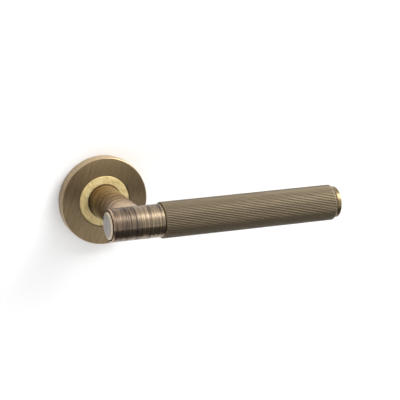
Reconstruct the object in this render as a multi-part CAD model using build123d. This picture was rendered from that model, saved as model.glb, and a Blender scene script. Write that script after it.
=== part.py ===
from build123d import *
import os
from math import cos, degrees, radians, sin

# Door lever handle on a round rose, in millimetres.
# Origin: centre of the rose on the face of the door. +Y goes into the door, -Y towards the
# hand, +X along the lever and +Z up. Depths are measured from the door towards the hand.

# --- rose ---------------------------------------------------------------------------------
rose_radius = 26.5              # 53 mm round rose
rose_depth = 6.9
rose_wall = 1.2
rose_edge_round = 0.6
rose_hole_radius = 15.7
rose_inner_radius = rose_radius - rose_wall
snap_back, snap_front = 1.0, 1.8        # depths of the rib that snaps the cover on
snap_height = 0.25

plate_radius = rose_inner_radius - 0.1
plate_front = 5.3
plate_rim_front = rose_depth - rose_wall
plate_rim_width = 1.6
recess_depth = 4.3
recess_radius = 15.6
nose_front = 5.9
nose_radius = 12.5

ring_outer_radius = 15.5
ring_hole_radius = 10.3
ring_edge_depth = 6.25
ring_edge_width, ring_edge_rise = 0.7, 0.4      # chamfer round its rim
ring_top_depth = 6.85

# --- lever --------------------------------------------------------------------------------
lever_projection = 56.14        # door face to the axis of the cross bar
lever_travel = 45.0             # degrees from rest to the lower stop

barrel_radius = 9.6
barrel_start, barrel_end = -14.6, 16.5
barrel_edge = 0.75

grip_radius = 10.55
grip_start, grip_end = 16.55, 125.1
grip_heel_bevel = 0.4
grip_tip_bevel = 1.15           # radial
grip_tip_bevel_length = 1.4
reed_count = 64
reed_depth = 0.26

core_radius = 6.5
stem_radius, stem_length = 3.0, 9.0     # threaded stems of both caps
heel_radius = 8.05
heel_seat = -13.4
heel_gap = 0.75                 # shadow gap round the heel cap
tip_radius = 9.35
tip_length = 2.6
tip_edge_round = 0.9

neck_radius = 9.4
neck_base_radius = 10.05
neck_base_length = 1.2
neck_shoulder = 6.5
neck_taper_end = 18.3
spigot_radius = 8.0
spigot_flat = 7.0               # height of the two flats that key the drive washer
stud_radius = 4.0
stud_back = 36.0
stud_front = lever_projection + 3.6
grub_radius = 2.5
grub_depth = 16.5
grub_key = 2.5                  # across the flats of its hexagon socket

# --- fixings ------------------------------------------------------------------------------
screw_pitch = 38.0              # standard bolt-through centres
screw_radius = 2.0              # M4
screw_shank_radius = 1.75       # rolled thread leaves the plain shank thinner
screw_thread_start = -0.5       # the thread starts just inside the door
screw_head_radius = 3.6
screw_head_land = 0.4
screw_reach = 38.0
screw_hole_gap = 0.15

spindle_side = 8.0
spindle_reach = 70.0
spindle_bevel = 0.6
spindle_socket_depth = 25.5

# --- what turns and stops inside the rose -------------------------------------------------
running_gap = 0.05
bush_radius = 9.6
bush_flange_radius = 10.3
bush_flange_back = 3.8
circlip_back = 0.8
circlip_thickness = 1.0
circlip_radius = 9.6
circlip_bore = 6.6
circlip_opening = 3.0
circlip_eye_circle = 9.2
circlip_eye_angle = 17.0
washer_radius = 13.8
washer_back, washer_front = 1.85, 3.2
drive_pin_circle = 12.6
anchor_pin_circle = 13.0
anchor_angle = 180.0
pin_radius = 0.7
pin_seat = 5.1                  # depth that the fixed pins are pressed in to
stop_pin_circle = 11.6
stop_pin_radius = 1.0
slot_half_width = stop_pin_radius + 0.1
slot_middles = (90.0, 270.0)

wire_radius = 0.5
spring_radius = 14.7
spring_back, spring_front = 0.95, 3.75
spring_half_turns = 5


def disc(radius, back, front):
    """A cylinder on the turning axis, between two depths."""
    return rod_y(0, 0, radius, back, front)


def rod_y(x, z, radius, back, front):
    """A cylinder parallel to the turning axis, between two depths."""
    return Pos(x, -(back + front) / 2, z) * Rot(90, 0, 0) * Cylinder(radius, front - back)


def rod_x(radius, start, end):
    """A cylinder on the axis of the cross bar."""
    middle = Pos((start + end) / 2, -lever_projection, 0)
    return middle * Rot(0, 90, 0) * Cylinder(radius, end - start)


def turned_about_bar(outline):
    """Revolve an outline of (x, radius) points about the axis of the cross bar."""
    face = make_face(Polyline(*outline, close=True))
    return Pos(0, -lever_projection, 0) * revolve(face, Axis.X, 360)


def around(circle, angle):
    """A place on a circle about the turning axis. Angles grow the way the lever is pressed."""
    return circle * cos(radians(angle)), -circle * sin(radians(angle))


# --- rose ---------------------------------------------------------------------------------

def rose_cover():
    """Pressed cup with a hole for the trim ring and a rib that snaps on to the plate."""
    outer = disc(rose_radius, 0, rose_depth)
    front_edge = outer.edges().filter_by(GeomType.CIRCLE).sort_by(Axis.Y)[0]
    outer = fillet(front_edge, rose_edge_round)
    cup = outer - disc(rose_inner_radius, 0, plate_rim_front)
    cup -= disc(rose_hole_radius, 0, rose_depth)
    rib = disc(rose_inner_radius, snap_back, snap_front)
    return cup + (rib - disc(rose_inner_radius - snap_height, snap_back, snap_front))


def mounting_plate():
    """Cast plate: screw holes, a recess behind for the spring and a nose for ring and bush."""
    plate = disc(plate_radius, 0, plate_rim_front)
    plate -= disc(plate_radius - plate_rim_width, plate_front, plate_rim_front)
    plate += disc(nose_radius, plate_front, nose_front)
    plate -= disc(recess_radius, 0, recess_depth) + disc(bush_radius, 0, nose_front)
    groove = disc(plate_radius, snap_back - 0.1, snap_front + 0.1)
    plate -= groove - disc(plate_radius - snap_height - 0.05, 0, plate_front)
    for side in (-1, 1):
        x = side * screw_pitch / 2
        plate -= screw_blank(x, screw_hole_gap)
        plate -= rod_y(x, 0, screw_radius + screw_hole_gap, 0, plate_front)
    for pin in stop_pins() + [spring_anchor_pin()]:
        plate -= pin
    return plate


def trim_ring():
    """Low cone round the foot of the neck, pressed on to the nose of the plate."""
    outline = [
        (nose_radius, -plate_front),
        (ring_outer_radius, -plate_front),
        (ring_outer_radius, -ring_edge_depth),
        (ring_outer_radius - ring_edge_width, -ring_edge_depth - ring_edge_rise),
        (ring_hole_radius + 0.35, -ring_top_depth),
        (ring_hole_radius, -ring_top_depth + 0.15),
        (ring_hole_radius, -nose_front),
        (nose_radius, -nose_front),
    ]
    return revolve(make_face(Polyline(*outline, close=True)), Axis.Y, 360)


def bearing_bush():
    """Flanged nylon bush that the neck turns in."""
    bush = disc(bush_radius, recess_depth, neck_shoulder - running_gap)
    bush += disc(bush_flange_radius, bush_flange_back, recess_depth)
    return bush - disc(spigot_radius + running_gap, 0, neck_shoulder)


def screw_blank(x, gap):
    """A countersunk screw of plain outline, grown by a gap to cut its own hole."""
    head = plate_front - running_gap
    taper = screw_head_radius - screw_radius
    screw = rod_y(x, 0, screw_shank_radius + gap, screw_thread_start, head)
    screw += rod_y(x, 0, screw_radius + gap, -screw_reach, screw_thread_start)
    screw += rod_y(x, 0, screw_head_radius + gap, head - screw_head_land, head + gap)
    cone = Cone(screw_radius + gap, screw_head_radius + gap, taper)
    return screw + Pos(x, screw_head_land + taper / 2 - head, 0) * Rot(90, 0, 0) * cone


def fixing_screws():
    """Two screws with cross recesses, through the plate and the door."""
    cross = Box(4.2, 1.6, 0.9) + Box(0.9, 1.6, 4.2)
    places = [side * screw_pitch / 2 for side in (-1, 1)]
    return [screw_blank(x, 0) - Pos(x, 0.8 - plate_front, 0) * cross for x in places]


def stop_pins():
    """Two pins in the plate, each in a slot of the drive washer."""
    places = [around(stop_pin_circle, middle + lever_travel / 2) for middle in slot_middles]
    return [rod_y(x, z, stop_pin_radius, washer_back + 0.2, pin_seat) for x, z in places]


def spring_anchor_pin():
    x, z = around(anchor_pin_circle, anchor_angle)
    return rod_y(x, z, pin_radius, washer_front + 0.15, pin_seat)


def return_spring():
    """Torsion coil. Its front leg bears on the fixed pin, and its rear leg lifts the washer's."""
    beside_pin = pin_radius + wire_radius + 0.03
    front_leg = anchor_angle - degrees(beside_pin / anchor_pin_circle)
    rear_leg = degrees(beside_pin / drive_pin_circle)
    length = spring_front - spring_back
    turns = (spring_half_turns * 180 + rear_leg + anchor_angle - front_leg) / 360
    path = Helix(pitch=length / turns, height=length, radius=spring_radius)
    coil = sweep(Plane(path @ 0, z_dir=path % 0) * Circle(wire_radius), path=path)
    coil = (Pos(0, -spring_front, 0) * Rot(-90, 0, 0) * coil).rotate(Axis.Y, front_leg)
    coil += spring_leg(front_leg, spring_front, anchor_pin_circle - 1)
    return coil + spring_leg(rear_leg, spring_back, drive_pin_circle - 1)


def spring_leg(angle, depth, inner_end):
    """A straight radial end, let into the last turn of the coil."""
    outer_end = spring_radius + 0.4 * wire_radius
    middle = Pos((outer_end + inner_end) / 2, -depth, 0) * Rot(0, 90, 0)
    return (middle * Cylinder(0.98 * wire_radius, outer_end - inner_end)).rotate(Axis.Y, angle)


# --- lever --------------------------------------------------------------------------------

def neck():
    """Turned neck with a keyed spigot behind and a saddle for the cross bar in front."""
    taper_start = (neck_base_radius, -neck_shoulder - neck_base_length)
    taper_end = (neck_radius, -neck_taper_end)
    top = 1.0 - lever_projection
    outline = [
        Polyline((0, 0), (spigot_radius, 0), (spigot_radius, -neck_shoulder)),
        Polyline((spigot_radius, -neck_shoulder), (neck_base_radius, -neck_shoulder), taper_start),
        TangentArc(taper_end, taper_start, tangent=(0, 1)),
        Polyline(taper_end, (neck_radius, top), (0, top), (0, 0)),
    ]
    body = revolve(make_face(Curve() + outline), Axis.Y, 360)
    body -= rod_x(barrel_radius, 2 * barrel_start, 2 * barrel_end)
    socket = spindle_side + 2 * running_gap
    body -= Pos(0, -spindle_socket_depth / 2, 0) * Box(socket, spindle_socket_depth, socket)
    body -= disc(stud_radius, stud_back, lever_projection)
    body -= Pos(0, -grub_depth, -neck_base_radius / 2) * Cylinder(grub_radius, neck_base_radius)
    body -= disc(neck_radius, 0, washer_front) - spigot_section(0, washer_front, 0)
    groove = disc(spigot_radius, circlip_back, circlip_back + circlip_thickness)
    return body - (groove - disc(circlip_bore, 0, washer_back))


def spigot_section(back, front, gap):
    """The keyed end of the spigot, round with two flats, grown by a gap to cut a hole."""
    height = 2 * (spigot_flat + gap)
    slab = Pos(0, -(back + front) / 2, 0) * Box(4 * spigot_radius, front - back, height)
    return disc(spigot_radius + gap, back, front) & slab


def neck_stud():
    """Holds the cross bar on the neck."""
    stud = disc(stud_radius, stud_back, stud_front)
    return chamfer(stud.edges().filter_by(GeomType.CIRCLE), 0.5)


def grub_screw():
    """Pinches the spindle from below."""
    low, high = -8.6, -spindle_side / 2 - running_gap
    screw = Pos(0, -grub_depth, (low + high) / 2) * Cylinder(grub_radius, high - low)
    socket = extrude(RegularPolygon(grub_key / 2, 6, major_radius=False), 2.2)
    return screw - Pos(0, -grub_depth, low) * socket


def spindle():
    """Square bar that works the latch."""
    length = spindle_reach + spindle_socket_depth - 0.5
    bar = Pos(0, spindle_reach - length / 2, 0) * Box(spindle_side, length, spindle_side)
    return chamfer(bar.faces().filter_by(Axis.Y).edges(), spindle_bevel)


def cross_barrel():
    """Plain tube over the core rod, bevelled and counterbored at the heel."""
    outline = [
        (barrel_start, 0),
        (barrel_start, barrel_radius - barrel_edge),
        (barrel_start + barrel_edge, barrel_radius),
        (barrel_end, barrel_radius),
        (barrel_end, 0),
    ]
    barrel = turned_about_bar(outline) - rod_x(core_radius, barrel_start, barrel_end)
    barrel -= rod_x(heel_radius + heel_gap, barrel_start, heel_seat)
    return barrel - disc(stud_radius, 0, lever_projection)


def heel_cap():
    outline = [
        (heel_seat + stem_length, 0),
        (heel_seat + stem_length, stem_radius),
        (heel_seat, stem_radius),
        (heel_seat, heel_radius),
        (barrel_start - 0.4, heel_radius),
        (barrel_start - 1.1, core_radius),
        (barrel_start - 1.1, 0),
    ]
    return turned_about_bar(outline)


def core_rod():
    """Runs through barrel and grip, tapped at both ends for the caps."""
    rod = rod_x(core_radius, heel_seat, grip_end)
    rod -= rod_x(stem_radius, heel_seat, heel_seat + stem_length + 0.5)
    rod -= rod_x(stem_radius, grip_end - stem_length - 0.5, grip_end)
    return rod - disc(stud_radius, 0, stud_front)


def grip_sleeve():
    """Tube with straight round reeds, bevelled at both ends."""
    half_reed = 180 / reed_count
    valley = grip_radius - reed_depth
    reeds = []
    for reed in range(reed_count):
        middle = (2 * reed + 1) * half_reed
        left = around(valley, middle - half_reed)
        right = around(valley, middle + half_reed)
        reeds.append(ThreePointArc(left, around(grip_radius, middle), right))
    blank = extrude(make_face(Curve() + reeds), grip_end - grip_start)
    blank = Pos(grip_start, -lever_projection, 0) * Rot(0, 90, 0) * blank
    outside = grip_radius + 0.05
    ends = turned_about_bar([
        (grip_start, 0),
        (grip_start, grip_radius - grip_heel_bevel),
        (grip_start + grip_heel_bevel, outside),
        (grip_end - grip_tip_bevel_length, outside),
        (grip_end, grip_radius - grip_tip_bevel),
        (grip_end, 0),
    ])
    return (blank & ends) - rod_x(core_radius, grip_start, grip_end)


def tip_cap():
    """Screwed into the core rod, a little larger than the bevelled end of the grip."""
    outline = [
        (grip_end - stem_length, 0),
        (grip_end - stem_length, stem_radius),
        (grip_end, stem_radius),
        (grip_end, tip_radius - 0.2),
        (grip_end + 0.2, tip_radius),
        (grip_end + tip_length, tip_radius),
        (grip_end + tip_length, 0),
    ]
    cap = turned_about_bar(outline)
    rim = cap.edges().filter_by(GeomType.CIRCLE).sort_by(Axis.X)[-1]
    return fillet(rim, tip_edge_round)


# --- what holds the neck in the rose ------------------------------------------------------

def drive_washer():
    """Turns with the neck. The ends of its two slots meet the stop pins."""
    washer = disc(washer_radius, washer_back, washer_front)
    washer -= spigot_section(washer_back, washer_front, running_gap)
    for middle in slot_middles:
        washer -= arc_slot(middle)
    return washer - spring_drive_pin()


def arc_slot(middle):
    """A slot that leaves a stop pin the lever's whole travel."""
    ring = disc(stop_pin_circle + slot_half_width, washer_back, washer_front)
    ring -= disc(stop_pin_circle - slot_half_width, washer_back, washer_front)
    ends = (middle - lever_travel / 2, middle + lever_travel / 2)
    corners = [(0, 0)] + [around(2 * washer_radius, angle) for angle in ends]
    wedge = extrude(Plane.XZ * make_face(Polyline(*corners, close=True)), washer_radius, both=True)
    slot = ring & wedge
    for angle in ends:
        x, z = around(stop_pin_circle, angle)
        slot += rod_y(x, z, slot_half_width, washer_back, washer_front)
    return slot


def spring_drive_pin():
    x, z = around(drive_pin_circle, 0)
    return rod_y(x, z, pin_radius, 0.3, washer_front)


def thrust_washer():
    """Takes the pull on the lever, between the drive washer and the bush."""
    front = bush_flange_back - running_gap
    ring = disc(bush_flange_radius, washer_front, front)
    return ring - disc(spigot_radius + running_gap, washer_front, front)


def circlip():
    """External retaining ring: an open ring with an eye at each end."""
    front = circlip_back + circlip_thickness
    ring = disc(circlip_radius, circlip_back, front)
    eyes = [around(circlip_eye_circle, 90 + side * circlip_eye_angle) for side in (-1, 1)]
    for x, z in eyes:
        ring += rod_y(x, z, 1.8, circlip_back, front)
    ring -= disc(circlip_bore, circlip_back, front)
    for x, z in eyes:
        ring -= rod_y(x, z, 0.8, circlip_back, front)
    return ring - Pos(0, -circlip_back, -circlip_radius) * Box(circlip_opening, 4, circlip_radius)


# --- write every piece --------------------------------------------------------------------

pieces = [
    mounting_plate, rose_cover, trim_ring, bearing_bush, return_spring, spring_anchor_pin,
    stop_pins, fixing_screws, neck, neck_stud, grub_screw, spindle, cross_barrel, core_rod,
    grip_sleeve, heel_cap, tip_cap, drive_washer, spring_drive_pin, thrust_washer, circlip,
]

os.makedirs("parts", exist_ok=True)
for piece in pieces:
    made = piece()
    shape = Compound(children=made) if isinstance(made, list) else made
    export_step(shape, f"parts/{piece.__name__}.step")
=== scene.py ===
from math import cos, pi, radians, sin

import bmesh
import bpy
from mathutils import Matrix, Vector


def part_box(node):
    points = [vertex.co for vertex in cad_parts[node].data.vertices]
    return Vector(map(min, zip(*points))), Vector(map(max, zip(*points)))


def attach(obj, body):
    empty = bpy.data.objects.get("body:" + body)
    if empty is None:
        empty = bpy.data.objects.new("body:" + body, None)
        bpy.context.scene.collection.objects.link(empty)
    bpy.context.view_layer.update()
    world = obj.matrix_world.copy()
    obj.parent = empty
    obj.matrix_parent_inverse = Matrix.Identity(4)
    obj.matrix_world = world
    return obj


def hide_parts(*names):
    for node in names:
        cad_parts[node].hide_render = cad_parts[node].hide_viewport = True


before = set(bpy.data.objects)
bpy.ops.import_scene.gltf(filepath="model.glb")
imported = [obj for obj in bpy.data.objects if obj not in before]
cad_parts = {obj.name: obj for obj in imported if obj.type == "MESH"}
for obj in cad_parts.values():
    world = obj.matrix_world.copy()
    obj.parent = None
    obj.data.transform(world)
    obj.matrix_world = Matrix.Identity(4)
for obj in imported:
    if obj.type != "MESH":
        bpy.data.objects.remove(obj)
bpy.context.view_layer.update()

# Mounting plate: a zinc die casting that lies on the door behind the cover. It is tumbled, so its
# skin is a dull grey with fine pits. It is the base that every other part of the rose sits on.
mm = 0.001


def metal(name):
    """A metal finish with nothing on it yet: its material, its node tree and its shader."""
    finish = bpy.data.materials.new(name)
    finish.use_nodes = True
    tree = finish.node_tree
    shader = tree.nodes["Principled BSDF"]
    shader.inputs["Metallic"].default_value = 1.0
    return finish, tree, shader


def grain(tree, cells, tilt=(0, 0, 0), detail=4.0):
    """Noise in the piece's own place, with so many cells to the metre along each axis."""
    place = tree.nodes.new("ShaderNodeTexCoord")
    turn = tree.nodes.new("ShaderNodeMapping")
    turn.inputs["Rotation"].default_value = tilt
    pull = tree.nodes.new("ShaderNodeMapping")
    pull.inputs["Scale"].default_value = cells
    noise = tree.nodes.new("ShaderNodeTexNoise")
    noise.inputs["Scale"].default_value = 1.0
    noise.inputs["Detail"].default_value = detail
    noise.inputs["Roughness"].default_value = 0.6
    tree.links.new(place.outputs["Object"], turn.inputs["Vector"])
    tree.links.new(turn.outputs["Vector"], pull.inputs["Vector"])
    tree.links.new(pull.outputs["Vector"], noise.inputs["Vector"])
    return noise.outputs["Fac"]


def colours(tree, value, *stops):
    """Colours along a value, each stop a place from 0 to 1 and a colour."""
    scale = tree.nodes.new("ShaderNodeValToRGB")
    scale.color_ramp.elements.remove(scale.color_ramp.elements[1])
    for index, (place, colour) in enumerate(stops):
        stop = scale.color_ramp.elements[0] if index == 0 else scale.color_ramp.elements.new(place)
        stop.position = place
        stop.color = (*colour, 1)
    tree.links.new(value, scale.inputs["Fac"])
    return scale.outputs["Color"]


def between(tree, value, low, high, start=0.3, end=0.7):
    """Spreads a value, from start to end, over low to high."""
    spread = tree.nodes.new("ShaderNodeMapRange")
    for socket, number in (("From Min", start), ("From Max", end), ("To Min", low), ("To Max", high)):
        spread.inputs[socket].default_value = number
    tree.links.new(value, spread.inputs["Value"])
    return spread.outputs["Result"]


def raised(tree, shader, value, height):
    """Bumps of a real height."""
    bump = tree.nodes.new("ShaderNodeBump")
    bump.inputs["Strength"].default_value = 1.0
    bump.inputs["Distance"].default_value = height
    tree.links.new(value, bump.inputs["Height"])
    tree.links.new(bump.outputs["Normal"], shader.inputs["Normal"])


def cast_zinc():
    finish, tree, shader = metal("cast_zinc")
    skin = grain(tree, (900, 900, 900))
    tones = colours(tree, skin, (0.3, (0.3, 0.31, 0.32)), (0.7, (0.5, 0.51, 0.53)))
    tree.links.new(tones, shader.inputs["Base Color"])
    tree.links.new(between(tree, skin, 0.42, 0.62), shader.inputs["Roughness"])
    raised(tree, shader, skin, 0.03 * mm)
    return finish


def finish_node(node, finish):
    """Gives a CAD node that is shown as it is its material."""
    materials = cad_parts[node].data.materials
    materials.clear()
    materials.append(finish)


finish_node("mounting_plate", cast_zinc())

# Bearing bush: a flanged nylon bush, moulded in off-white, pushed into the nose of the plate. The
# neck turns in it.


def moulded_nylon():
    finish, tree, shader = metal("moulded_nylon")
    shader.inputs["Metallic"].default_value = 0.0
    cloud = grain(tree, (300, 300, 300))
    tones = colours(tree, cloud, (0.3, (0.68, 0.66, 0.58)), (0.7, (0.78, 0.77, 0.7)))
    tree.links.new(tones, shader.inputs["Base Color"])
    tree.links.new(between(tree, cloud, 0.4, 0.5), shader.inputs["Roughness"])
    raised(tree, shader, cloud, 0.01 * mm)
    return finish


finish_node("bearing_bush", moulded_nylon())

# Small steel parts: the pins pressed into plate and washer, the keyed drive washer, the thrust
# washer, the stud and rod inside the bar, and the grub screw. They are turned or stamped from steel
# and zinc plated, with a faint yellow and blue bloom.


def zinc_plate():
    finish, tree, shader = metal("zinc_plate")
    bloom = grain(tree, (150, 150, 150), detail=2.0)
    hues = ((0.3, (0.5, 0.5, 0.48)), (0.5, (0.62, 0.61, 0.56)), (0.7, (0.52, 0.55, 0.6)))
    tree.links.new(colours(tree, bloom, *hues), shader.inputs["Base Color"])
    scratches = grain(tree, (2500, 2500, 2500), detail=3.0)
    tree.links.new(between(tree, scratches, 0.24, 0.4), shader.inputs["Roughness"])
    raised(tree, shader, scratches, 0.006 * mm)
    return finish


plated = zinc_plate()
for node in ("spring_anchor_pin", "stop_pins", "spring_drive_pin", "drive_washer", "thrust_washer",
             "neck_stud", "core_rod", "grub_screw"):
    finish_node(node, plated)

# Return spring and circlip: hardened spring steel, blued in oil, nearly black.


def oiled_spring_steel():
    finish, tree, shader = metal("oiled_spring_steel")
    skin = grain(tree, (1200, 1200, 1200))
    tones = colours(tree, skin, (0.3, (0.07, 0.07, 0.08)), (0.7, (0.17, 0.17, 0.18)))
    tree.links.new(tones, shader.inputs["Base Color"])
    tree.links.new(between(tree, skin, 0.22, 0.4), shader.inputs["Roughness"])
    raised(tree, shader, skin, 0.008 * mm)
    return finish


blued = oiled_spring_steel()
for node in ("return_spring", "circlip"):
    finish_node(node, blued)

# Fixing screws: two M4 machine screws with countersunk heads, through the plate and the door. The
# thread is rolled, so the plain shank below the head is thinner than the thread.
screw_low, screw_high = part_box("fixing_screws")
screw_head = 3.6 * mm
screw_head_land, screw_head_depth = 0.4 * mm, 2.2 * mm
screw_centre = screw_high.x - screw_head
screw_shank = 1.75 * mm
thread_outer = 2.0 * mm
thread_root = 1.6 * mm
rib_foot = thread_root - 0.03 * mm
thread_pitch = 0.7 * mm
thread_start = 0.5 * mm
thread_run_in, thread_run_out = 0.5 * mm, 1.0 * mm
point_length, point_taper = 0.3 * mm, 0.4 * mm
thread_steps = 24


def lathe(shape, outline, along, centre, steps):
    """Turns an outline of (place along the axis, radius, rounding of the corner) about the axis."""
    along, centre = Vector(along), Vector(centre)
    across = Vector((0, 0, 1))
    before = set(shape.verts)
    corners = [shape.verts.new(centre + along * place + across * radius) for place, radius, _ in outline]
    runs = list(zip(corners, corners[1:]))
    if outline[0][1] > 0:
        runs.append((corners[-1], corners[0]))
    for run in runs:
        shape.edges.new(run)
    for corner, (_, _, rounding) in zip(corners, outline):
        if rounding:
            bmesh.ops.bevel(shape, geom=[corner], offset=rounding, offset_type="OFFSET", segments=5,
                            profile=0.5, affect="VERTICES", material=-1)
    section = [vert for vert in shape.verts if vert not in before]
    section += list({edge for vert in section for edge in vert.link_edges})
    bmesh.ops.spin(shape, geom=section, cent=centre, axis=along, angle=2 * pi, steps=steps,
                   use_merge=True, use_duplicate=False)


def closed(shape):
    """Seams and poles are merged and the faces turned outwards."""
    bmesh.ops.remove_doubles(shape, verts=shape.verts, dist=1e-7)
    bmesh.ops.dissolve_degenerate(shape, edges=shape.edges, dist=1e-7)
    bmesh.ops.recalc_face_normals(shape, faces=shape.faces)


def piece(shape, name, finish, body, node, sharp=50):
    """A finished mesh as a piece that rides on its body and stands for a CAD node."""
    mesh = bpy.data.meshes.new(name)
    shape.to_mesh(mesh)
    shape.free()
    mesh.materials.append(finish)
    mesh.polygons.foreach_set("use_smooth", [True] * len(mesh.polygons))
    mesh.set_sharp_from_angle(angle=radians(sharp))
    made = bpy.data.objects.new(name, mesh)
    bpy.context.scene.collection.objects.link(made)
    made.modifiers.new("even_shading", "WEIGHTED_NORMAL").keep_sharp = True
    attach(made, body)
    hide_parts(node)
    return made


def thread(shape, x, start, end):
    """One turn of the thread's rib, then a copy of it for every further turn."""
    before = set(shape.verts)
    rib = [(0.1, rib_foot), (0.42, thread_outer), (0.58, thread_outer), (0.9, rib_foot)]
    corners = [shape.verts.new((x, start + share * thread_pitch, radius)) for share, radius in rib]
    runs = [shape.edges.new(run) for run in zip(corners, corners[1:] + corners[:1])]
    bmesh.ops.spin(shape, geom=corners + runs, cent=(x, 0, 0), axis=(0, 1, 0), angle=2 * pi,
                   dvec=(0, thread_pitch / thread_steps, 0), steps=thread_steps, use_duplicate=False)
    turn = [vert for vert in shape.verts if vert not in before]
    turn += list({face for vert in turn for face in vert.link_faces})
    for count in range(1, int((end - start) / thread_pitch)):
        made = bmesh.ops.duplicate(shape, geom=turn)["geom"]
        copies = [item for item in made if isinstance(item, bmesh.types.BMVert)]
        bmesh.ops.translate(shape, vec=(0, count * thread_pitch, 0), verts=copies)


def threaded_screws():
    shape = bmesh.new()
    for x in (-screw_centre, screw_centre):
        head_and_shank = [
            (screw_low.y, 0, 0),
            (screw_low.y, screw_head, 0.1 * mm),
            (screw_low.y + screw_head_land, screw_head, 0.1 * mm),
            (screw_low.y + screw_head_depth, screw_shank, 0.2 * mm),
            (thread_start, screw_shank, 0),
            (thread_start + 0.2 * mm, thread_root, 0),
            (screw_high.y - point_length, thread_root, 0.1 * mm),
            (screw_high.y, thread_root - point_taper, 0.1 * mm),
            (screw_high.y, 0, 0),
        ]
        lathe(shape, head_and_shank, (0, 1, 0), (x, 0, 0), 2 * thread_steps)
        thread(shape, x, thread_start + thread_run_in, screw_high.y - thread_run_out)
    closed(shape)
    return shape


piece(threaded_screws(), "machine_screws", plated, "rose", "fixing_screws", sharp=30)

# Trim ring: a low cone of satin brass round the foot of the neck, pressed on the nose of the plate.
# Its rim is chamfered. It is left bright, and its short straight scratches all lie one way.
rose_low, rose_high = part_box("rose_cover")
ring_low, ring_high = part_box("trim_ring")
ring_radius = ring_high.x
ring_hole = 10.3 * mm
ring_rim_front = -6.25 * mm
ring_rim_width, ring_rim_rise = 0.7 * mm, 0.4 * mm
ring_lip_width, ring_lip_rise = 0.35 * mm, 0.15 * mm
nose_radius, nose_front = 12.5 * mm, -5.9 * mm


def satin_brass():
    finish, tree, shader = metal("satin_brass")
    shader.inputs["Metallic"].default_value = 0.6
    brushing = grain(tree, (2600, 300, 240), tilt=(0, radians(35), 0))
    cloud = grain(tree, (160, 160, 160), detail=2.0)
    both = tree.nodes.new("ShaderNodeMath")
    both.operation = "MULTIPLY_ADD"
    both.inputs[1].default_value = 0.4
    tree.links.new(cloud, both.inputs[0])
    tree.links.new(between(tree, brushing, 0.1, 0.5), both.inputs[2])
    tones = ((0.3, (0.48, 0.34, 0.13)), (0.5, (0.76, 0.6, 0.28)), (0.72, (0.95, 0.83, 0.48)))
    tree.links.new(colours(tree, both.outputs["Value"], *tones), shader.inputs["Base Color"])
    tree.links.new(between(tree, brushing, 0.6, 0.46), shader.inputs["Roughness"])
    raised(tree, shader, brushing, 0.02 * mm)
    return finish


def cone_ring():
    shape = bmesh.new()
    outline = [
        (ring_high.y, nose_radius, 0),
        (ring_high.y, ring_radius, 0.1 * mm),
        (ring_rim_front, ring_radius, 0.15 * mm),
        (ring_rim_front - ring_rim_rise, ring_radius - ring_rim_width, 0.1 * mm),
        (ring_low.y, ring_hole + ring_lip_width, 0.1 * mm),
        (ring_low.y + ring_lip_rise, ring_hole, 0.08 * mm),
        (nose_front, ring_hole, 0),
        (nose_front, nose_radius, 0),
    ]
    lathe(shape, outline, (0, 1, 0), (0, 0, 0), 192)
    closed(shape)
    return shape


piece(cone_ring(), "foot_ring", satin_brass(), "rose", "trim_ring")

# Rose cover: a cup pressed from brass sheet, coloured to antique bronze, brushed straight and
# lacquered. A highlight is painted paler along its rounded front edge and side, and a sheen is painted on
# its face: lighter along one line through the centre, darker across it.
rose_radius = rose_high.x
rose_wall = 1.2 * mm
rose_edge = 0.6 * mm
rose_hole = 15.7 * mm


def antique_brass(name, lines, streaks, dark, light, tilt=(0, 0, 0), rough=(0.26, 0.42), spread=0.14):
    """Coloured brass, brushed one way: fine lines, and longer streaks where the colour has worn."""
    finish, tree, shader = metal(name)
    fine = grain(tree, lines, tilt, detail=3.0)
    broad = grain(tree, streaks, tilt, detail=3.0)
    worn = tree.nodes.new("ShaderNodeMix")
    worn.inputs["Factor"].default_value = 0.55
    tree.links.new(fine, worn.inputs["A"])
    tree.links.new(broad, worn.inputs["B"])
    tones = colours(tree, worn.outputs["Result"], (0.5 - spread, dark), (0.5 + spread, light))
    tree.links.new(tones, shader.inputs["Base Color"])
    tree.links.new(between(tree, worn.outputs["Result"], rough[1], rough[0]), shader.inputs["Roughness"])
    raised(tree, shader, fine, 0.012 * mm)
    return finish, tree, shader


def toned(tree, shader, value, below, above):
    """Multiplies the colour by one tint where a value is 0 and another where it is 1."""
    colour = shader.inputs["Base Color"].links[0].from_socket
    tint = colours(tree, value, (0.0, below), (1.0, above))
    product = tree.nodes.new("ShaderNodeMix")
    product.data_type = "RGBA"
    product.blend_type = "MULTIPLY"
    product.clamp_result = False
    product.inputs["Factor"].default_value = 1.0
    tree.links.new(colour, product.inputs["A"])
    tree.links.new(tint, product.inputs["B"])
    tree.links.new(product.outputs["Result"], shader.inputs["Base Color"])


def pressed_cup():
    shape = bmesh.new()
    outline = [
        (0, rose_radius - rose_wall, 0.1 * mm),
        (0, rose_radius, 0.15 * mm),
        (rose_low.y, rose_radius, rose_edge),
        (rose_low.y, rose_hole, 0.12 * mm),
        (rose_low.y + rose_wall, rose_hole, 0.1 * mm),
        (rose_low.y + rose_wall, rose_radius - rose_wall, 0.1 * mm),
    ]
    lathe(shape, outline, (0, 1, 0), (0, 0, 0), 256)
    closed(shape)
    return shape


def flattened(tree, kept, centre=(0, 0, 0)):
    """The place on a piece, measured from a centre, with only the kept axes."""
    place = tree.nodes.new("ShaderNodeTexCoord")
    flat = tree.nodes.new("ShaderNodeMapping")
    flat.inputs["Location"].default_value = -Vector(centre)
    flat.inputs["Scale"].default_value = kept
    tree.links.new(place.outputs["Object"], flat.inputs["Vector"])
    return flat.outputs["Vector"]


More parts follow.
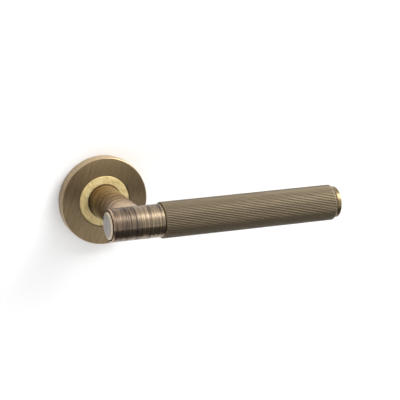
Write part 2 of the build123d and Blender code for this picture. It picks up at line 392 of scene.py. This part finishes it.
def from_axis(tree, kept, centre=(0, 0, 0)):
    """The distance from an axis, where the kept axes are the two across it."""
    radius = tree.nodes.new("ShaderNodeVectorMath")
    radius.operation = "LENGTH"
    tree.links.new(flattened(tree, kept, centre), radius.inputs[0])
    return radius.outputs["Value"]


def painted_sheen_line(tree, turn):
    """Painted sheen: 1 along a line through the rose's centre, 0 across it."""
    unit = tree.nodes.new("ShaderNodeVectorMath")
    unit.operation = "NORMALIZE"
    along = tree.nodes.new("ShaderNodeVectorMath")
    along.operation = "DOT_PRODUCT"
    along.inputs[1].default_value = (cos(turn), 0, sin(turn))
    square = tree.nodes.new("ShaderNodeMath")
    square.operation = "POWER"
    square.inputs[1].default_value = 2.0
    tree.links.new(flattened(tree, (1, 0, 1)), unit.inputs[0])
    tree.links.new(unit.outputs["Vector"], along.inputs[0])
    tree.links.new(along.outputs["Value"], square.inputs[0])
    return square.outputs["Value"]


rose_brass, tree, shader = antique_brass(
    "brushed_rose_brass", (3400, 400, 200), (1300, 200, 110), (0.2, 0.146, 0.081), (0.29, 0.216, 0.122),
    tilt=(0, radians(-18), 0), rough=(0.3, 0.42))
# Painted sheen: the face is lighter along one line through the centre and darker across it.
toned(tree, shader, painted_sheen_line(tree, radians(70)), (0.75, 0.73, 0.73), (1.2, 1.2, 1.2))
shader.inputs["Metallic"].default_value = 0.8
edge_end = rose_radius - 0.1 * mm
# Painted highlight: the rounded front edge and the side wall are made paler.
painted_edge_highlight = between(tree, from_axis(tree, (1, 0, 1)), 0, 1, rose_radius - rose_edge, edge_end)
toned(tree, shader, painted_edge_highlight, (1, 1, 1), (1.85, 1.85, 1.9))
piece(pressed_cup(), "rose_cup", rose_brass, "rose", "rose_cover")

# Neck: turned from brass bar and coloured like the rose. Its foot flares to cover the bush, and its
# front end is milled to a saddle for the cross bar. Shade is painted darker at the foot near the door
# and below, and a highlight is painted lighter on top and near the bar.
painted_shade_reach = 8 * mm
painted_highlight_from = 34 * mm
painted_top_light_height = 9 * mm


def coordinate(tree, axis):
    """The place on a piece along one axis."""
    place = tree.nodes.new("ShaderNodeTexCoord")
    split = tree.nodes.new("ShaderNodeSeparateXYZ")
    tree.links.new(place.outputs["Object"], split.inputs["Vector"])
    return split.outputs[axis]


neck_brass, tree, shader = antique_brass(
    "turned_neck_brass", (70, 2000, 70), (24, 420, 24), (0.06, 0.042, 0.031), (0.42, 0.325, 0.22),
    rough=(0.22, 0.34), spread=0.11)
# Painted shade and highlight: darker at the foot near the door, lighter towards the bar.
painted_neck_shade_and_highlight = between(tree, coordinate(tree, "Y"), 1, 0, -painted_highlight_from, -painted_shade_reach)
toned(tree, shader, painted_neck_shade_and_highlight, (0.42, 0.33, 0.26), (1.45, 1.45, 1.5))
# Painted light: lighter on top of the neck, darker below.
painted_top_light = between(tree, coordinate(tree, "Z"), 0, 1, 0, painted_top_light_height)
toned(tree, shader, painted_top_light, (0.6, 0.58, 0.57), (1.6, 1.6, 1.6))
finish_node("neck", neck_brass)

# Spindle: drawn square steel bar, 8 mm, zinc plated, with its corners just broken.
spindle_low, spindle_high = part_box("spindle")
spindle_end_bevel, spindle_edge_round = 0.6 * mm, 0.25 * mm


def square_bar():
    shape = bmesh.new()
    bmesh.ops.create_cube(shape, size=1.0)
    bmesh.ops.scale(shape, vec=spindle_high - spindle_low, verts=shape.verts)
    bmesh.ops.translate(shape, vec=(spindle_low + spindle_high) / 2, verts=shape.verts)
    ends = [edge for edge in shape.edges if abs((edge.verts[0].co - edge.verts[1].co).y) < 0.1 * mm]
    bmesh.ops.bevel(shape, geom=ends, offset=spindle_end_bevel, offset_type="OFFSET", segments=1,
                    profile=0.5, affect="EDGES", material=-1)
    corners = [edge for edge in shape.edges if edge.calc_face_angle(0) > radians(20)]
    bmesh.ops.bevel(shape, geom=corners, offset=spindle_edge_round, offset_type="OFFSET", segments=3,
                    profile=0.5, affect="EDGES", material=-1)
    return shape


piece(square_bar(), "square_spindle", plated, "lever", "spindle")

# Cross barrel: brass tube on the core rod, bevelled at the heel and screwed to the neck. The colour
# is brushed back in bands round it, so dark bronze and gold lie side by side. It is darker towards
# the heel and black inside, and its bevel carries a painted highlight.
barrel_low, barrel_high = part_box("cross_barrel")
barrel_radius = barrel_high.z
bar_axis = Vector((0, (barrel_low.y + barrel_high.y) / 2, 0))
barrel_bevel = 0.75 * mm
core_radius = 6.5 * mm
dark_length = 14 * mm
heel_low, heel_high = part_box("heel_cap")
heel_radius = heel_high.z
heel_gap = 0.75 * mm
heel_bore = heel_radius + heel_gap
heel_seat = -13.4 * mm


def plain_barrel():
    shape = bmesh.new()
    outline = [
        (barrel_low.x, heel_bore, 0),
        (barrel_low.x, barrel_radius - barrel_bevel, 0.03 * mm),
        (barrel_low.x + barrel_bevel, barrel_radius, 0.15 * mm),
        (barrel_high.x, barrel_radius, 0.15 * mm),
        (barrel_high.x, core_radius, 0),
        (heel_seat, core_radius, 0),
        (heel_seat, heel_bore, 0),
    ]
    lathe(shape, outline, (1, 0, 0), bar_axis, 192)
    closed(shape)
    return shape


def from_bar_axis(tree):
    return from_axis(tree, (0, 1, 1), bar_axis)


def along_bar(tree):
    return coordinate(tree, "X")


barrel_brass, tree, shader = antique_brass(
    "banded_barrel_brass", (2200, 60, 60), (420, 22, 22), (0.06, 0.042, 0.04), (0.37, 0.29, 0.19),
    rough=(0.22, 0.34), spread=0.1)
bevel_end = barrel_low.x + barrel_bevel
# Painted highlight on the bevel.
painted_bevel_highlight = between(tree, along_bar(tree), 1, 0, bevel_end, bevel_end + 0.15 * mm)
toned(tree, shader, painted_bevel_highlight, (1, 1, 1), (2.4, 2.3, 2.2))
dark_end = between(tree, along_bar(tree), 0, 1, barrel_low.x, barrel_low.x + dark_length)
toned(tree, shader, dark_end, (0.62, 0.56, 0.6), (1, 1, 1))
inside = between(tree, from_bar_axis(tree), 1, 0, heel_bore, heel_bore + 0.05 * mm)
toned(tree, shader, inside, (1, 1, 1), (0.1, 0.1, 0.1))
piece(plain_barrel(), "plain_barrel", barrel_brass, "lever", "cross_barrel")

# Heel cap: a turned disc screwed into the core rod. Its face is faced flat and brushed pale, its
# shoulder carries a painted highlight, and its side stays black in the gap.
heel_shoulder = barrel_low.x - 0.4 * mm
stem_radius = 3 * mm


def heel_disc():
    shape = bmesh.new()
    outline = [
        (heel_low.x, 0, 0),
        (heel_low.x, core_radius + 0.1 * mm, 0.15 * mm),
        (heel_shoulder, heel_radius, 0.12 * mm),
        (heel_seat, heel_radius, 0),
        (heel_seat, stem_radius, 0),
        (heel_high.x, stem_radius, 0.3 * mm),
        (heel_high.x, 0, 0),
    ]
    lathe(shape, outline, (1, 0, 0), bar_axis, 160)
    closed(shape)
    return shape


cap_brass, tree, shader = antique_brass(
    "faced_cap_brass", (300, 1500, 200), (100, 400, 60), (0.2, 0.18, 0.165), (0.29, 0.265, 0.245),
    rough=(0.3, 0.42))
# Painted highlight on the shoulder.
painted_shoulder_highlight = between(tree, from_bar_axis(tree), 0, 1, core_radius, core_radius + 0.3 * mm)
toned(tree, shader, painted_shoulder_highlight, (1, 1, 1), (2.0, 1.8, 1.45))
side = between(tree, along_bar(tree), 0, 1, heel_shoulder, heel_shoulder + 0.1 * mm)
toned(tree, shader, side, (1, 1, 1), (0.08, 0.08, 0.08))
piece(heel_disc(), "heel_disc", cap_brass, "lever", "heel_cap")

# Grip sleeve: brass tube with straight round reeds cut along it, bevelled at both ends. The crests
# are rubbed paler than the grooves between the reeds, and both bevels carry a painted highlight.
grip_low, grip_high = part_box("grip_sleeve")
reeds = 64
steps_in_reed = 8
reed_depth = 0.26 * mm
groove_sharpness = 1.8
grip_radius = 10.55 * mm
heel_bevel = 0.4 * mm
tip_bevel = 1.15 * mm
tip_bevel_length = 1.4 * mm


def reeded_tube():
    shape = bmesh.new()
    count = reeds * steps_in_reed
    rim = bmesh.ops.create_circle(shape, cap_ends=False, radius=grip_radius, segments=count)["verts"]
    for corner in rim:
        turned = corner.co.to_2d().angle_signed(Vector((1, 0)))
        crest = abs(sin(turned * reeds / 2))
        corner.co *= 1 - (1 - crest) ** groove_sharpness * reed_depth / grip_radius
        corner.co = Vector((grip_low.x, corner.co.y, corner.co.x))
    length = grip_high.x - grip_low.x
    bevel_start = length - tip_bevel_length
    places = [0, 0.15 * mm, heel_bevel, heel_bevel + 0.15 * mm, heel_bevel + 0.4 * mm]
    places += [bevel_start * share for share in (0.2, 0.4, 0.6, 0.8, 0.99)]
    places += [bevel_start + tip_bevel_length * share for share in (0, 0.08, 0.16, 0.24, 0.32, 0.5, 0.75, 1)]
    loop = list({edge for corner in rim for edge in corner.link_edges})
    rings = [rim]
    loops = [loop]
    for place in places[1:]:
        grown = bmesh.ops.extrude_edge_only(shape, edges=loop)["geom"]
        verts = [item for item in grown if isinstance(item, bmesh.types.BMVert)]
        loop = [item for item in grown if isinstance(item, bmesh.types.BMEdge)]
        for vert in verts:
            vert.co.x = grip_low.x + place
        rings.append(verts)
        loops.append(loop)
    for place, verts in zip(places, rings):
        at_heel = grip_radius - heel_bevel + place
        at_tip = grip_radius - tip_bevel * (place - bevel_start) / tip_bevel_length
        for vert in verts:
            out = vert.co.yz.length
            vert.co.yz *= min(1, min(at_heel, at_tip) / out)
    bores = []
    for loop in (loops[0], loops[-1]):
        grown = bmesh.ops.extrude_edge_only(shape, edges=loop)["geom"]
        for vert in (item for item in grown if isinstance(item, bmesh.types.BMVert)):
            vert.co.yz *= core_radius / vert.co.yz.length
        bores += [item for item in grown if isinstance(item, bmesh.types.BMEdge)]
    bmesh.ops.bridge_loops(shape, edges=bores)
    bmesh.ops.translate(shape, vec=bar_axis, verts=shape.verts)
    closed(shape)
    return shape


def reeded_brass():
    finish, tree, shader = metal("reeded_brass")
    height = between(tree, from_bar_axis(tree), 0, 1, grip_radius - reed_depth, grip_radius)
    wear = grain(tree, (60, 900, 900), detail=3.0)
    rubbed = tree.nodes.new("ShaderNodeMath")
    rubbed.operation = "MULTIPLY_ADD"
    rubbed.inputs[1].default_value = 0.5
    tree.links.new(wear, rubbed.inputs[0])
    tree.links.new(between(tree, height, -0.25, 0.75, 0, 1), rubbed.inputs[2])
    tones = ((0.05, (0.084, 0.064, 0.039)), (0.6, (0.128, 0.101, 0.065)), (1.0, (0.158, 0.126, 0.083)))
    tree.links.new(colours(tree, rubbed.outputs["Value"], *tones), shader.inputs["Base Color"])
    tree.links.new(between(tree, wear, 0.3, 0.42), shader.inputs["Roughness"])
    raised(tree, shader, wear, 0.01 * mm)
    return finish, tree, shader


grip_brass, tree, shader = reeded_brass()
# Painted highlight on the tip bevel.
painted_tip_highlight = between(tree, along_bar(tree), 0, 1, grip_high.x - 0.5 * mm, grip_high.x - 0.3 * mm)
toned(tree, shader, painted_tip_highlight, (1, 1, 1), (2.2, 2.1, 1.9))
heel_bevel_end = grip_low.x + heel_bevel
# Painted highlight on the heel bevel.
painted_heel_highlight = between(tree, along_bar(tree), 1, 0, heel_bevel_end, heel_bevel_end + 0.2 * mm)
toned(tree, shader, painted_heel_highlight, (1, 1, 1), (1.9, 1.8, 1.6))
piece(reeded_tube(), "reeded_tube", grip_brass, "lever", "grip_sleeve", sharp=40)

# Tip cap: a turned disc screwed into the far end of the core rod. Hands have worn its colour back to
# gold in places.
tip_low, tip_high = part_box("tip_cap")
tip_radius = tip_high.z
tip_edge = 0.9 * mm


def tip_disc():
    shape = bmesh.new()
    outline = [
        (tip_low.x, 0, 0),
        (tip_low.x, stem_radius, 0.3 * mm),
        (grip_high.x, stem_radius, 0),
        (grip_high.x, tip_radius, 0),
        (tip_high.x, tip_radius, tip_edge),
        (tip_high.x, 0, 0),
    ]
    lathe(shape, outline, (1, 0, 0), bar_axis, 192)
    closed(shape)
    return shape


tip_brass, _, _ = antique_brass("worn_tip_brass", (2200, 150, 150), (300, 60, 60), (0.13, 0.095, 0.055),
                                (0.36, 0.27, 0.14), rough=(0.22, 0.34))
piece(tip_disc(), "tip_disc", tip_brass, "lever", "tip_cap")

# Door and floor: a matt white door leaf and a pale floor far below. The leaf is bored behind the rose
# and clear from behind, so that the fixings there are lit and can be seen. A grey card over the floor
# shows only in reflections, and keeps the underside of the bar dark.
door_bore, door_radius = rose_radius - 1.0 * mm, 1.5
door_gap = 0.2 * mm
floor_below = 1.05
floor_half, card_half = 6.0, 2.7
card_below = 0.9 * floor_below


def matt(name, colour):
    paint = bpy.data.materials.new(name)
    paint.use_nodes = True
    shader = paint.node_tree.nodes["Principled BSDF"]
    shader.inputs["Base Color"].default_value = (*colour, 1)
    shader.inputs["Roughness"].default_value = 0.9
    shader.inputs["Specular IOR Level"].default_value = 0.1
    return paint, paint.node_tree, shader


def front_only(tree, shader):
    """Lets the camera see through the back of a sheet."""
    clear = tree.nodes.new("ShaderNodeBsdfTransparent")
    side = tree.nodes.new("ShaderNodeNewGeometry")
    ray = tree.nodes.new("ShaderNodeLightPath")
    both = tree.nodes.new("ShaderNodeMath")
    both.operation = "MULTIPLY"
    mix = tree.nodes.new("ShaderNodeMixShader")
    tree.links.new(side.outputs["Backfacing"], both.inputs[0])
    tree.links.new(ray.outputs["Is Camera Ray"], both.inputs[1])
    tree.links.new(both.outputs["Value"], mix.inputs["Fac"])
    tree.links.new(shader.outputs["BSDF"], mix.inputs[1])
    tree.links.new(clear.outputs["BSDF"], mix.inputs[2])
    tree.links.new(mix.outputs["Shader"], tree.nodes["Material Output"].inputs["Surface"])


def bored_leaf(bore, radius):
    """A flat leaf with a round hole in it."""
    shape = bmesh.new()
    bmesh.ops.create_circle(shape, cap_ends=False, radius=bore, segments=96)
    grown = bmesh.ops.extrude_edge_only(shape, edges=shape.edges[:])["geom"]
    rim = [item for item in grown if isinstance(item, bmesh.types.BMVert)]
    bmesh.ops.scale(shape, vec=(radius / bore,) * 3, verts=rim)
    shape.normal_update()
    bmesh.ops.reverse_faces(shape, faces=[face for face in shape.faces if face.normal.z < 0])
    return shape


def plain_sheet(half):
    shape = bmesh.new()
    bmesh.ops.create_grid(shape, x_segments=1, y_segments=1, size=half)
    return shape


def panel(name, shape, paint):
    mesh = bpy.data.meshes.new(name)
    shape.to_mesh(mesh)
    shape.free()
    mesh.materials.append(paint)
    made = bpy.data.objects.new(name, mesh)
    bpy.context.scene.collection.objects.link(made)
    return made


door_paint, tree, shader = matt("door_paint", (0.78, 0.78, 0.78))
front_only(tree, shader)
door = panel("door_leaf", bored_leaf(door_bore, door_radius), door_paint)
door.rotation_euler = (radians(90), 0, 0)
door.location = (0, door_gap, 0)
floor_paint, _, _ = matt("floor_paint", (0.9, 0.9, 0.9))
floor = panel("floor", plain_sheet(floor_half), floor_paint)
floor.location = (0, 0, -floor_below)
card_paint, _, _ = matt("card_paint", (0.07, 0.07, 0.07))
card = panel("grey_card", plain_sheet(card_half), card_paint)
card.location = (0, 0, -card_below)
card.visible_camera = card.visible_diffuse = card.visible_shadow = False

# Light: a white tent, brightest in one patch high on the right, dimmer away from it and dark below.
# The camera sees it as plain white. A lamp behind the door leaf lights the fixings there.
glow_turn, glow_rise = radians(60), radians(38)
tent_strength = 2.8
lamp_turn, lamp_rise, lamp_distance = radians(215), radians(35), 1.5


def from_front(turn, rise):
    """A direction out from the door: turned to the right of straight ahead, and raised."""
    return Vector((sin(turn) * cos(rise), -cos(turn) * cos(rise), sin(rise)))


def greys(*stops):
    return [(place, (grey, grey, grey)) for place, grey in stops]


def tent(sky):
    """How bright the tent is in each direction."""
    outward = sky.nodes.new("ShaderNodeTexCoord")
    split = sky.nodes.new("ShaderNodeSeparateXYZ")
    towards = sky.nodes.new("ShaderNodeVectorMath")
    towards.operation = "DOT_PRODUCT"
    towards.inputs[1].default_value = from_front(glow_turn, glow_rise)
    sky.links.new(outward.outputs["Generated"], split.inputs["Vector"])
    sky.links.new(outward.outputs["Generated"], towards.inputs[0])
    glow = colours(sky, between(sky, towards.outputs["Value"], 0, 1, -1, 1),
                   *greys((0.0, 0.08), (0.5, 0.3), (0.75, 0.33), (0.9, 0.36), (0.96, 0.4), (1.0, 5.0)))
    height = colours(sky, between(sky, split.outputs["Z"], 0, 1, -1, 1),
                     *greys((0.0, 0.1), (0.44, 0.3), (0.5, 1.0), (0.7, 0.9), (1.0, 1.25)))
    both = sky.nodes.new("ShaderNodeMix")
    both.data_type = "RGBA"
    both.blend_type = "MULTIPLY"
    both.inputs["Factor"].default_value = 1.0
    sky.links.new(glow, both.inputs["A"])
    sky.links.new(height, both.inputs["B"])
    return both.outputs["Result"]


world = bpy.data.worlds.new("studio")
bpy.context.scene.world = world
world.use_nodes = True
sky = world.node_tree
lit = sky.nodes["Background"]
lit.inputs["Strength"].default_value = tent_strength
sky.links.new(tent(sky), lit.inputs["Color"])
white = sky.nodes.new("ShaderNodeBackground")
white.inputs["Color"].default_value = (1, 1, 1, 1)
ray = sky.nodes.new("ShaderNodeLightPath")
pick = sky.nodes.new("ShaderNodeMixShader")
sky.links.new(ray.outputs["Is Camera Ray"], pick.inputs["Fac"])
sky.links.new(lit.outputs["Background"], pick.inputs[1])
sky.links.new(white.outputs["Background"], pick.inputs[2])
sky.links.new(pick.outputs["Shader"], sky.nodes["World Output"].inputs["Surface"])

lamp = bpy.data.lights.new("lamp_behind", "AREA")
lamp.shape = "RECTANGLE"
lamp.size, lamp.size_y = 1.2, 1.0
lamp.energy = 14
lamp_object = bpy.data.objects.new("lamp_behind", lamp)
out_to_lamp = from_front(lamp_turn, lamp_rise)
lamp_object.location = out_to_lamp * lamp_distance
lamp_object.rotation_euler = out_to_lamp.to_track_quat("Z", "Y").to_euler()
lamp_object.visible_camera = False
bpy.context.scene.collection.objects.link(lamp_object)
bpy.context.scene.view_settings.view_transform = "Standard"

# Camera: a long lens, from the left and a little above.
aim = Vector((55.17, -21.17, -0.98)) * mm
camera_turn, camera_rise, camera_roll = radians(-22.24), radians(15.68), radians(0.39)
camera_distance = 1.021

lens = bpy.data.cameras.new("camera")
lens.lens = 153.8
lens.sensor_width = 36.0
lens.clip_start, lens.clip_end = 0.01, 20
camera = bpy.data.objects.new("camera", lens)
bpy.context.scene.collection.objects.link(camera)
away = from_front(camera_turn, camera_rise)
camera.location = aim + away * camera_distance
camera.rotation_euler = away.to_track_quat("Z", "Y").to_euler()
camera.rotation_euler.rotate_axis("Z", camera_roll)
bpy.context.scene.camera = camera
